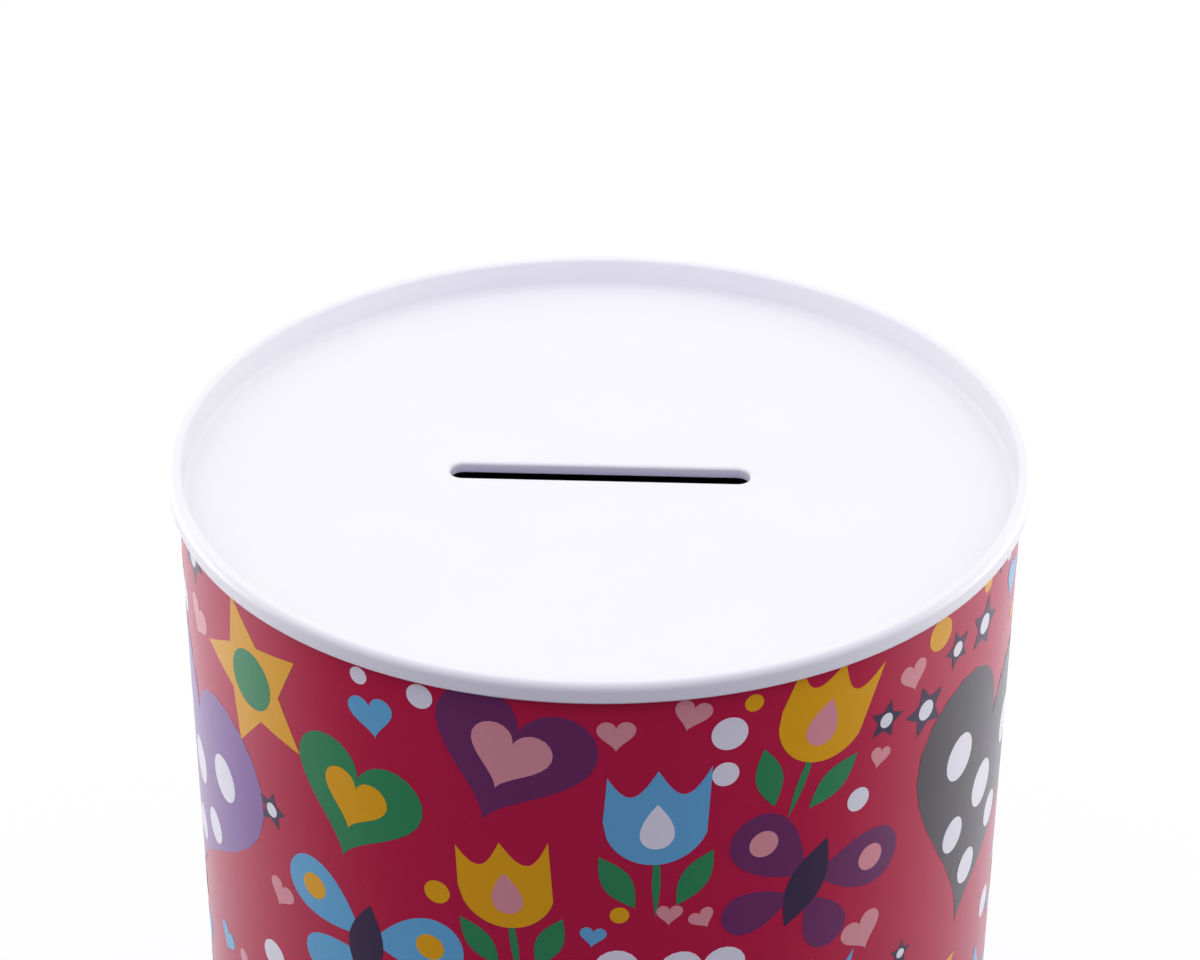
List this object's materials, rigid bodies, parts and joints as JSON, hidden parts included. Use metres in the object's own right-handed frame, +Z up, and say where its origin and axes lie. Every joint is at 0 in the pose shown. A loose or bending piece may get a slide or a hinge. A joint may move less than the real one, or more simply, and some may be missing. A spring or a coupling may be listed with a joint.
{
  "type": "tin money box",
  "caption": "Round tinplate money box: printed wall, white slotted top and base double-seamed to it, and a push-in stopper under the base to empty it.",
  "frame": {"origin": "centre of the ring that the can stands on", "axes": "+Z up along the can's axis, +X along the coin slot, -Y towards the viewer"},
  "size_m": [0.1018, 0.1018, 0.12],
  "materials": {
    "printed_tinplate": "offset-printed tinplate under gloss varnish",
    "white_lacquer": "stoved white gloss lacquer on tinplate",
    "plain_tinplate": "bright tinplate, clear lacquered",
    "soft_plastic": "moulded low-density polyethylene"
  },
  "bodies": {
    "can": {"body_wall": "printed_tinplate", "top_end": "white_lacquer", "bottom_end": "plain_tinplate"},
    "stopper": {"base_stopper": "soft_plastic"}
  },
  "joints": [
    {"name": "stopper_pull", "type": "slide", "parent": "can", "child": "stopper", "axis": [0, 0, -1], "range_m": [0, 0.03]}
  ]
}
